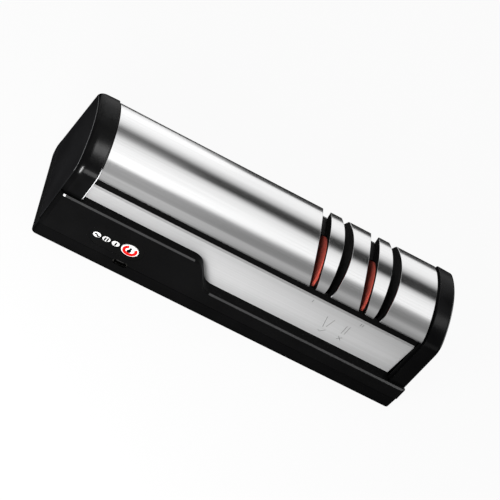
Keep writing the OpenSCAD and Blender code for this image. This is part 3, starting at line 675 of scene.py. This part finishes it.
def build_cap(name, black, end_painted_light, width, land, side, edge_r, roll):
    """A cap of a width over all, rolled into its end face, with a land that runs under the steel.

    Its rings are (distance from the end face, inset).
    """
    start = math.radians(roll_start)
    face_inset = edge_r * (1 - math.sin(start))
    ring = [(0, face_inset + 1), (0, face_inset + 0.45), (0.1, face_inset)]
    for degrees in between(roll_start, 90, 10)[1:]:
        a = math.radians(degrees)
        ring.append((0.1 + roll * (math.cos(start) - math.cos(a)), edge_r * (1 - math.sin(a))))
    end = width - land
    ring += [(roll + 0.4, 0), (end - 0.8, 0)]
    for degrees in between(0, 90, 4):
        a = math.radians(degrees)
        ring.append((end - 0.5 + 0.5 * math.sin(a), 0.5 - 0.5 * math.cos(a)))
    under = dome_set + dome_t + 0.1
    ring += [(end, under), (width - 0.75, under), (width - 0.2, under)]
    ring += [(width, under + 0.25), (width, wall), (wall, wall)]

    def back_at(x):
        return dome_back_r + (cap_back_r - dome_back_r) * max(1 - x / end, 0)

    loops = [[(side * (x - half_l), p.x, p.y) for p in profile(inset, back_at(x))] for x, inset in ring]
    vertices, faces = loft(loops, closed=False)
    n = len(loops[0])
    foot = [k * n for k in range(len(loops))] + [k * n + n - 1 for k in reversed(range(len(loops)))]
    faces.append(foot)
    cap = new_object(name, vertices, faces)
    face_out(cap)
    sharp_smooth(cap, 28)
    add_materials(cap, black, end_painted_light, painted_rim_highlight, painted_edge_line)
    # The end face takes the lighter face black, painted light; a thin ring at its edge takes a painted
    # highlight line; on the left cap the land's rounded edge beside the steel takes a painted highlight
    for polygon in cap.data.polygons:
        place = polygon.center / MM
        out = half_l - abs(place.x)
        if 0.02 < out < 0.08 and place.y < line_back and place.z > line_foot:
            polygon.material_index = 3
        elif out < 0.2:
            polygon.material_index = 1
        elif side > 0 and abs(out - width + 0.475) < 0.05 and place.z < cap_rim_top and place.y < 0:
            polygon.material_index = 2
    return cap


left_cap = build_cap("left_cap_skin", cap_black, cap_face_painted_light, left_cap_w, 1, 1, 2.7, 4.8)
finish_piece(left_cap, cap_black, "housing", "cap_black", "left_end_cap")
right_cap = build_cap("right_cap_skin", right_cap_painted_light, end_face_painted_light, right_cap_w, 1.9, -1, 1.1, 1.8)
finish_piece(right_cap, right_cap_painted_light, "housing", "cap_black", "right_end_cap")


# Front cover, cut along the ledge
def ledge_line(drop=0, left=-half_l, right=half_l):
    """The ledge's line lowered by a drop, as (x, height over the seam)."""
    top = ledge_high - seam_h - drop
    low = ledge_low - seam_h - drop
    bend_a = Vector((ledge_x, top - ledge_r))
    bend_b = Vector((ledge_end_x, low + ledge_r))
    points = [Vector((left, top))]
    # Breaks in the line where the cover's painted glint and painted highlight start
    points += [Vector((left + corner_r + past, top)) for past in (lit_from, lit_to)]
    points += arc(bend_a, ledge_r, 90, 90 - ledge_slope, 12)
    points += arc(bend_b, ledge_r, 270 - ledge_slope, 270, 12)
    points.append(Vector((right, low)))
    return [(p.x, p.y) for p in points]


def depth_of(p):
    """Depth of a point behind the leaning front."""
    return (p.y + half_d) * lean_cos - (p.z - seam_z) * lean_sin


def build_cover():
    outline = [(-half_l, 0)] + ledge_line() + [(half_l, 0)]

    def place(x, u, d):
        return on_front(x, u + (d * lean_tan if u == 0 else 0), d)

    cover = prism("cover_skin", outline, place, 0, cover_t)

    def weight(a, b):
        if depth_of(a) > 0.1 or depth_of(b) > 0.1:
            return 0
        if a.z < seam_z + 0.1 and b.z < seam_z + 0.1:
            return 0.1
        if abs(abs(a.x) - half_l) < 0.1 and abs(a.x - b.x) < 0.1:
            return 1
        return chamfer / corner_r

    mark_edges(cover, weight)
    bevel_marked(cover, corner_r)
    bake(cover)

    def reach(x, u, d):
        return on_front(x, u, d if d < cover_t else (plate_y + half_d - u * lean_sin) / lean_cos)

    upper, lower = ledge_line(0.02, left_in, right_in), ledge_line(lip_t, left_in, right_in)
    cut(cover, prism("lip", upper + lower[::-1], reach, cover_t - 0.6, body_d), "UNION")
    cut(cover, prism("cut", capsule(panel_x, button_u, recess_w, recess_h), on_front, -5, 0.5))
    cut_controls(cover, 0.05)
    cut_port(cover)
    bevel(cover, 0.12, 33)
    bake(cover)
    return cover


cover = build_cover()
add_materials(cover, case_black, edge_painted_highlight, painted_glint)
# The straight parts of the top edge's chamfer take the lighter black, a painted highlight, and a short bit
# past the left corner takes the bright steel, a painted glint
for polygon in cover.data.polygons:
    place, normal = polygon.center / MM, polygon.normal
    if abs(normal.x) < 0.05 and depth_of(place) < 0.9 and normal.z > 0.45 and normal.y < -0.45:
        along = place.x + half_l - corner_r
        polygon.material_index = 1 if along > lit_to else 2 if along > lit_from else 0
finish_piece(cover, case_black, "housing", "case_black", "front_cover")


# Pan: footprint loops from the bevelled underside up to the seam, with a rounder edge along the back
def footprint(inset, z, back=0, steps=8):
    r = corner_r
    points = []
    for sx, sy, start in ((1, 1, 0), (-1, 1, 90), (-1, -1, 180), (1, -1, 270)):
        for a in between(start, start + 90, steps):
            p = polar(r, a)
            x = sx * (half_l - inset - r) + p.x
            y = sy * (half_d - inset - r) + p.y - back * max(sy, 0)
            points.append((x, y, z))
    return points


def build_pan():
    rings = [footprint(pan_bevel + 0.3, base_z, pan_back_r), footprint(pan_bevel, base_z, pan_back_r)]
    for degrees in between(22, 90, 9):
        a = math.radians(degrees)
        rise = 1 - math.cos(a) ** (4 / 3)
        reach = 1 - math.sin(a) ** (4 / 3)
        rings.append(footprint(0, base_z + pan_back_r * rise, pan_back_r * reach))
    rings += [footprint(0, seam_z - 0.45), footprint(0.1, seam_z - 0.2), footprint(0.35, seam_z - 0.1)]
    rings += [footprint(wall, seam_z - 0.1), footprint(wall, base_z + 2.2)]
    vertices, faces = loft(rings)
    pan = new_object("pan_skin", vertices, faces)
    face_out(pan)
    cut_port(pan)
    foot_seat = (half_l - foot_in_x, half_d - foot_in_y, foot_r + 0.1, 0.8)
    screw_hole = (half_l - screw_in, half_d - screw_in, screw_hole_r, 2)
    for sx in (-1, 1):
        for sy in (-1, 1):
            for cx, cy, r, depth in (foot_seat, screw_hole):
                cut(pan, prism("cut", circle(sx * cx, sy * cy, r), along_z, base_z - 5, base_z + depth))
    hatch_x, hatch_y = (fine_x + coarse_x) / 2, 2
    hatch_l, hatch_w = (stage_gap + 31) / 2, body_d / 4
    corners = ((-1, -1), (1, -1), (1, 1), (-1, 1))
    hatch = [(hatch_x + sx * hatch_l, hatch_y + sy * hatch_w) for sx, sy in corners]
    cut(pan, prism("cut", hatch, along_z, base_z - 5, base_z + 1.45))
    bevel(pan, 0.15, 50)
    bake(pan)
    return pan


pan = build_pan()
add_materials(pan, pan_black, end_face_painted_light)
# The pan's end faces take the lighter black: painted light
for polygon in pan.data.polygons:
    if abs(polygon.normal.x) > 0.9:
        polygon.material_index = 1
finish_piece(pan, pan_black, "housing", "case_black", "base_pan")


# Front plate
def build_plate():
    top = plate_top_z - seam_z - 1.3
    left, right = left_in + 0.2, right_in - 0.2
    outline = ledge_line(plate_tuck + ledge_sag, left, right) + [(right, top), (left, top)]
    plate = prism("plate_skin", outline, on_plate, 0, plate_t)

    def weight(a, b):
        return 1 if min(a.z, b.z) > seam_z + top - 0.1 and max(a.y, b.y) < plate_y + 0.1 else 0

    mark_edges(plate, weight)
    bevel_marked(plate, plate_chamfer)
    bake(plate)
    bevel(plate, 0.1, 40)
    bake(plate)
    return plate


plate = build_plate()
add_materials(plate, plate_steel, plate_rim_painted_shade)
# The plate's top chamfer takes the darker steel: painted shade
for polygon in plate.data.polygons:
    if polygon.normal.z > 0.3:
        polygon.material_index = 1
finish_piece(plate, plate_steel, "housing", "plate_steel", "front_plate")


# Controls
def build_panel():
    panel = prism("panel_skin", capsule(panel_x, button_u, panel_w, panel_h), on_front, 0.12, 0.8)
    cut_controls(panel, 0.02)
    bevel(panel, 0.1, 50)
    bake(panel)
    return panel


panel = build_panel()
finish_piece(panel, gloss_black, "housing", "panel_gloss", "control_panel")


def turned(name, cx, cu, steps, points):
    """An oval piece about the axis of a control: points of (radius, depth)."""
    loops = [[on_front(x, u, d) for x, u in oval(cx, cu, r, steps)] for r, d in points]
    vertices, faces = loft(loops)
    obj = new_object(name, vertices, faces)
    face_out(obj)
    sharp_smooth(obj, 50)
    return obj


def dished(r, d_edge, d_middle, back, rim=0.3):
    """Radius and depth points of a shallow dished face with a rounded rim."""
    points = [(0.2, d_middle)]
    points += [((r - rim) * t, d_middle + (d_edge - d_middle) * t * t) for t in (0.25, 0.5, 0.75, 1.0)]
    for degrees in (30, 60, 90):
        a = math.radians(degrees)
        points.append((r - rim + rim * math.sin(a), d_edge + rim - rim * math.cos(a)))
    points.append((r, back))
    return points


button = turned("button_skin", button_x, button_u, 64, dished(button_r, -0.3, -0.22, 2.6))
finish_piece(button, gloss_white, "button", "button_white", "power_button")


def band(name, points, width, d, lift=0.06, place=on_front):
    """A thin raised band of a width along points on a face, for inlaid marks."""
    count = len(points)
    vertices, faces = [], []
    for i, p in enumerate(points):
        before = Vector(points[max(i - 1, 0)])
        after = Vector(points[min(i + 1, count - 1)])
        along = (after - before).normalized()
        side = Vector((-along.y, along.x)) * width / 2
        for s in (1, -1):
            q = Vector(p) + s * side
            vertices.append(place(q.x, q.y, d - lift))
            vertices.append(place(q.x, q.y, d + 0.1))
    for i in range(count - 1):
        a = 4 * i
        b = a + 4
        faces += [[a, a + 2, b + 2, b], [a + 1, b + 1, b + 3, a + 3]]
        faces += [[a, b, b + 1, a + 1], [a + 2, a + 3, b + 3, b + 2]]
    faces += [[0, 1, 3, 2], [4 * count - 4, 4 * count - 2, 4 * count - 1, 4 * count - 3]]
    obj = new_object(name, vertices, faces, smooth=False)
    face_out(obj)
    return obj


ring_r = button_r * 0.68
ring_points = [
    (button_x + ring_r * math.sin(a), button_u + button_flat * ring_r * math.cos(a))
    for a in between(math.radians(47), math.radians(332), 48)
]
ring = band("button_ring_skin", ring_points, 1.8, -0.24)
finish_piece(ring, mark_red, "button", "mark_red", "button_ring")
bar_points = [(button_x - 0.35, button_u - 1.8), (button_x - 0.05, button_u + 2.2)]
bar = band("button_bar_skin", bar_points, 1.3, -0.22)
finish_piece(bar, mark_black, "button", "mark_black", "button_bar")
bulb_points = [(button_x - 0.4, button_u - 1.5), (button_x - 0.3, button_u + 0.3)]
bulb = band("button_bulb_skin", bulb_points, 2.3, -0.23)
finish_piece(bulb, mark_black, "button", "mark_black")

# Lenses, with one stroke, two strokes and a wave, as (x, height) about each lens
lens_marks = (
    [[(0, -1.3), (0, 1.3)]],
    [[(-0.75, -1.3), (-0.75, 1.3)], [(0.75, -1.3), (0.75, 1.3)]],
    [[(-1.6, 0.1), (-0.7, 0.8), (0.1, -0.1), (0.9, -0.8), (1.6, 0)]],
)
for i, (lens_x, strokes) in enumerate(zip(lens_xs, lens_marks)):
    lens = turned("lens_skin_%d" % (i + 1), lens_x, lens_u, 40, dished(lens_r, 0, -0.1, 2.4))
    finish_piece(lens, gloss_white, "housing", "lens_white", *(["indicator_lenses"] if i == 0 else []))
    for k, line in enumerate(strokes):
        points = [(lens_x + x, lens_u + u) for x, u in line]
        stroke = band("lens_mark_%d_%d" % (i + 1, k + 1), points, 1.0, -0.1, 0.05)
        finish_piece(stroke, mark_black, "housing", "mark_black")


# Plain marks etched in the plate: strokes for the stages, a notch over a tick, and two bars over a cross
def plate_mark(name, points, width=0.34):
    stroke = band(name, points, width, 0, 0.012, on_plate)
    finish_piece(stroke, etched, "housing", "plate_steel")


mark_h, mark_half, mark_pitch = 33.4, 1.3, 1.4
for i, x in enumerate((fine_x + 1.2, coarse_x + 0.6)):
    for k in range(i + 1):
        mark_x = x + mark_pitch * k
        points = [(mark_x, mark_h - mark_half), (mark_x, mark_h + mark_half)]
        plate_mark("stage_stroke_%d_%d" % (i + 1, k + 1), points, 0.42)
for name, points in (
    ("notch_left", [(53.6, 27.4), (55.9, 18.0)]),
    ("notch_right", [(58.6, 27.4), (57.6, 19.2)]),
    ("tick", [(55.0, 14.1), (56.5, 13.4), (58.8, 16.5)]),
    ("bar_left", [(67.1, 27.4), (67.5, 19.7)]),
    ("bar_right", [(69.0, 27.8), (69.3, 20.1)]),
    ("cross_down", [(67.6, 16.9), (70.3, 14.0)]),
    ("cross_up", [(67.6, 14.1), (70.2, 16.9)]),
):
    plate_mark("guide_mark_%s" % name, points)

# Rounded edges on the nodes that stay
for name, width in (
    ("back_cover", 0.2),
    ("groove_strip", 0.1),
    ("fine_guide", 0.15),
    ("coarse_guide", 0.15),
    ("rubber_feet", 0.35),
    ("swarf_hatch", 0.2),
    ("usb_socket", 0.05),
    ("usb_tongue", 0.08),
):
    bevel(frame["nodes"][name], width, 45)

# Floor
floor_half = 4000
corners = [(x * floor_half, y * floor_half, 0) for x, y in ((-1, -1), (1, -1), (1, 1), (-1, 1))]
floor = new_object("floor", corners, [[0, 1, 2, 3]], smooth=False)


def floor_material():
    """White to the eye.

    In reflections it glows with painted light: bright in front of the case, most at the left, and dim
    behind and beside it.
    """
    mat, tree, surface = bare_material("floor_white")
    diffuse = tree.nodes.new("ShaderNodeBsdfDiffuse")
    diffuse.inputs["Color"].default_value = (0.88, 0.88, 0.88, 1)
    glow = tree.nodes.new("ShaderNodeEmission")
    path = tree.nodes.new("ShaderNodeLightPath")
    axes = object_axes(tree)
    ahead = map_range(tree, axes["Y"], -half_d * MM, -half_d * MM * 1.1, 0, 1)
    along = map_range(tree, axes["X"], -half_l * MM, half_l * MM, 1.25, 0.36)
    beside = map_range(tree, axes["X"], -half_l * MM * 1.1, -half_l * MM, 0, 1)
    # Painted light: the glow that reflections see, by place on the floor
    painted_glow = math_node(tree, "MULTIPLY", math_node(tree, "MULTIPLY", ahead, along), beside)
    mirrored = math_node(tree, "MAXIMUM", painted_glow, 0.03)
    seen = path.outputs["Is Camera Ray"]
    glossy, through = path.outputs["Is Glossy Ray"], path.outputs["Is Transmission Ray"]
    mirror_ray = math_node(tree, "MAXIMUM", glossy, through)
    level = math_node(tree, "MAXIMUM", seen, math_node(tree, "MULTIPLY", mirrored, mirror_ray))
    share = math_node(tree, "MAXIMUM", math_node(tree, "MULTIPLY", seen, 0.94), mirror_ray)
    mix = tree.nodes.new("ShaderNodeMixShader")
    tree.links.new(level, glow.inputs["Strength"])
    tree.links.new(share, mix.inputs["Fac"])
    tree.links.new(diffuse.outputs["BSDF"], mix.inputs[1])
    tree.links.new(glow.outputs["Emission"], mix.inputs[2])
    tree.links.new(mix.outputs["Shader"], surface)
    return mat


add_materials(floor, floor_material())

# Studio surroundings: an even world, white to the eye, and a light tent that only gloss sees
world = bpy.data.worlds.new("studio")
bpy.context.scene.world = world
world.use_nodes = True
tree = world.node_tree
background = tree.nodes["Background"]
path = tree.nodes.new("ShaderNodeLightPath")
tree.links.new(map_range(tree, path.outputs["Is Camera Ray"], 0, 1, 0.34, 1), background.inputs["Strength"])
background.inputs["Color"].default_value = (1, 1, 1, 1)

tent_r, tent_z = 500, 55
tent_ends = (-500, 900)
tent_reach = 94


def build_tent():
    """Half a tube over the case."""
    rows = between(-tent_reach, tent_reach, 64)
    vertices = []
    for degrees in rows:
        a = math.radians(degrees)
        vertices += [(x, -tent_r * math.sin(a), tent_z + tent_r * math.cos(a)) for x in tent_ends]
    faces = [[2 * i, 2 * i + 1, 2 * i + 3, 2 * i + 2] for i in range(len(rows) - 1)]
    return new_object("light_tent", vertices, faces)


def tent_material():
    """Long soft boxes and dark gaps by the angle over the case, which change along its length."""
    mat, tree, surface = bare_material("light_tent")
    glow = tree.nodes.new("ShaderNodeEmission")
    axes = object_axes(tree)
    depth = math_node(tree, "MULTIPLY", axes["Y"], -1.0)
    height = math_node(tree, "SUBTRACT", axes["Z"], tent_z * MM)
    angle = math_node(tree, "ARCTAN2", depth, height)
    place = map_range(tree, angle, -math.pi / 2, math.pi / 2, 0, 1)

    def bands(stops):
        return ramp(tree, place, [((a + 90) / 180, (level,) * 3) for a, level in stops])

    # Levels as (angle, level) from behind the case to in front of it, at four places in metres along X
    stages = (
        (
            0.04,
            [(-90, 1.15), (-84, 1.5), (-65, 1.3), (-57, 1.0), (-51, 0.42), (-46, 0.1), (-42, 0.24)]
            + [(-37, 0.48), (-33, 1.02), (-26, 1.2), (-14, 1.4), (-4, 1.6), (0, 1.6), (3, 0.46)]
            + [(12, 0.45), (18, 0.46), (24, 0.57), (34, 0.68), (55, 0.64), (78, 0.54), (84, 0.1)],
        ),
        (
            0.087,
            [(-90, 0.4), (-84.5, 1.5), (-65, 1.27), (-57, 0.97), (-51, 0.48), (-47.5, 0.06), (-37, 0.02)]
            + [(-33.5, 0.85), (-30, 1.12), (-25, 1.2), (-14, 1.38), (-5, 1.55), (-1, 1.35), (2.5, 0.42)]
            + [(12, 0.37), (19, 0.42), (24, 0.55), (34, 0.63), (55, 0.6), (78, 0.48), (84, 0.06)],
        ),
        (
            0.117,
            [(-90, 0.06), (-88, 0.1), (-84.5, 1.3), (-75, 1.26), (-65, 1.25), (-57, 0.95), (-51, 0.52)]
            + [(-47.5, 0.05), (-37, 0.02), (-33.5, 0.74), (-29.5, 1.14), (-25, 1.2), (-14, 1.38)]
            + [(-5, 1.46), (-0.5, 1.2), (2.5, 0.34), (14, 0.29), (19, 0.38), (24, 0.53), (34, 0.58)]
            + [(55, 0.53), (78, 0.42), (84, 0.02)],
        ),
        (
            0.227,
            [(-90, 0.04), (-88, 0.08), (-84.5, 1.25), (-78, 1.25), (-65, 1.25), (-57, 0.9), (-52, 0.55)]
            + [(-47, 0.04), (-33.5, 0.02), (-29.5, 0.85), (-25, 1.18), (-14, 1.27), (-5, 1.33)]
            + [(-1.5, 0.55), (1.5, 0.34), (10, 0.25), (20, 0.45), (36, 0.51), (55, 0.42), (78, 0.29)]
            + [(84, 0.01)],
        ),
    )
    start, levels = stages[0]
    colour = bands(levels)
    for end, levels in stages[1:]:
        blend = tree.nodes.new("ShaderNodeMix")
        blend.data_type = "RGBA"
        tree.links.new(map_range(tree, axes["X"], start, end, 0, 1), blend.inputs["Factor"])
        tree.links.new(colour, blend.inputs["A"])
        tree.links.new(bands(levels), blend.inputs["B"])
        start, colour = end, blend.outputs["Result"]
    tree.links.new(colour, glow.inputs["Color"])
    tree.links.new(glow.outputs["Emission"], surface)
    return mat


tent = build_tent()
add_materials(tent, tent_material())
tent.visible_camera = False
tent.visible_diffuse = False
tent.visible_shadow = False
tent.visible_transmission = False


def soft_box(name, place, target, width, height, power):
    """A rectangular lamp at a place in metres, aimed at a target, that the camera doesn't see."""
    light = bpy.data.lights.new(name, "AREA")
    light.shape = "RECTANGLE"
    light.size = width
    light.size_y = height
    light.energy = power
    obj = bpy.data.objects.new(name, light)
    obj.location = place
    obj.rotation_euler = (Vector(target) - Vector(place)).to_track_quat("-Z", "Y").to_euler()
    obj.visible_camera = False
    bpy.context.scene.collection.objects.link(obj)
    return obj


def light_link(lamp, state, *pieces):
    """Keeps a lamp's light to some of the pieces, or off them."""
    group = bpy.data.collections.new("linked_to_" + lamp.name)
    for piece in pieces:
        group.objects.link(piece)
    for linked in group.collection_objects:
        linked.light_linking.link_state = state
    lamp.light_linking.receiver_collection = group


wheels = (frame["nodes"]["fine_wheels"], frame["nodes"]["coarse_wheels"])
left_lamp = soft_box("left_lamp", (-0.21, -0.36, 0.14), (-0.06, 0, 0.04), 0.2, 0.2, 2.1)
light_link(left_lamp, "EXCLUDE", dome)
wheel_lamp = soft_box("wheel_lamp", (-0.19, -0.3, 0.34), (0.055, 0, 0.04), 0.08, 0.08, 1.3)
light_link(wheel_lamp, "INCLUDE", *wheels)

# Soft light on the case's back and right end, kept off the dome, the floor and the discs
for name, place, power in (("back_lamp", (-0.05, 0.6, 0.3), 16), ("right_lamp", (0.65, 0.12, 0.2), 9)):
    lamp = soft_box(name, place, (0, 0, 0.03), 0.5, 0.3, power)
    light_link(lamp, "EXCLUDE", dome, floor, *wheels)

# Lamps that reach only one end cap and shape its gloss
cap_aim_x = 0.113
for name, cap, place, width, height, power in (
    ("left_front_lamp", left_cap, (0.007, -0.383, 0.172), 0.16, 0.16, 2.5),
    ("left_top_lamp", left_cap, (0.007, 0.035, 0.454), 0.09, 0.15, 2.3),
    ("left_side_lamp", left_cap, (-0.21, -0.36, 0.14), 0.07, 0.26, 16),
    ("right_front_lamp", right_cap, (0.233, -0.383, 0.172), 0.16, 0.16, 0.25),
    ("right_top_lamp", right_cap, (0.233, 0.035, 0.454), 0.09, 0.18, 0.7),
):
    aim_x = -cap_aim_x if cap is left_cap else cap_aim_x
    lamp = soft_box(name, place, (aim_x, 0, 0.055), width, height, power)
    light_link(lamp, "INCLUDE", cap)

# Camera at the photograph's viewing angle
cam_az, cam_el, cam_roll = -23.29868, 42.79342, 43.25879
cam_shift_x, cam_shift_y = -0.51008, -0.50588
cam_distance, cam_focal = 1315.17026, 2275.32699
picture = 500
az, el, roll = (math.radians(a) for a in (cam_az, cam_el, cam_roll))
back = Vector((math.sin(az) * math.cos(el), -math.cos(az) * math.cos(el), math.sin(el)))
level = Vector((math.cos(az), math.sin(az), 0))
upright = back.cross(level)
right = math.cos(roll) * level + math.sin(roll) * upright
up = -math.sin(roll) * level + math.cos(roll) * upright
data = bpy.data.cameras.new("camera")
data.sensor_width = 36
data.lens = data.sensor_width * cam_focal / picture
data.clip_start = 0.05
data.clip_end = 50
camera = bpy.data.objects.new("camera", data)
place = (Vector((0, 0, 32)) - cam_shift_x * right - cam_shift_y * up + cam_distance * back) * MM
camera.matrix_world = Matrix.Translation(place) @ Matrix((right, up, back)).transposed().to_4x4()
bpy.context.scene.collection.objects.link(camera)
bpy.context.scene.camera = camera
bpy.context.scene.view_settings.view_transform = "Standard"
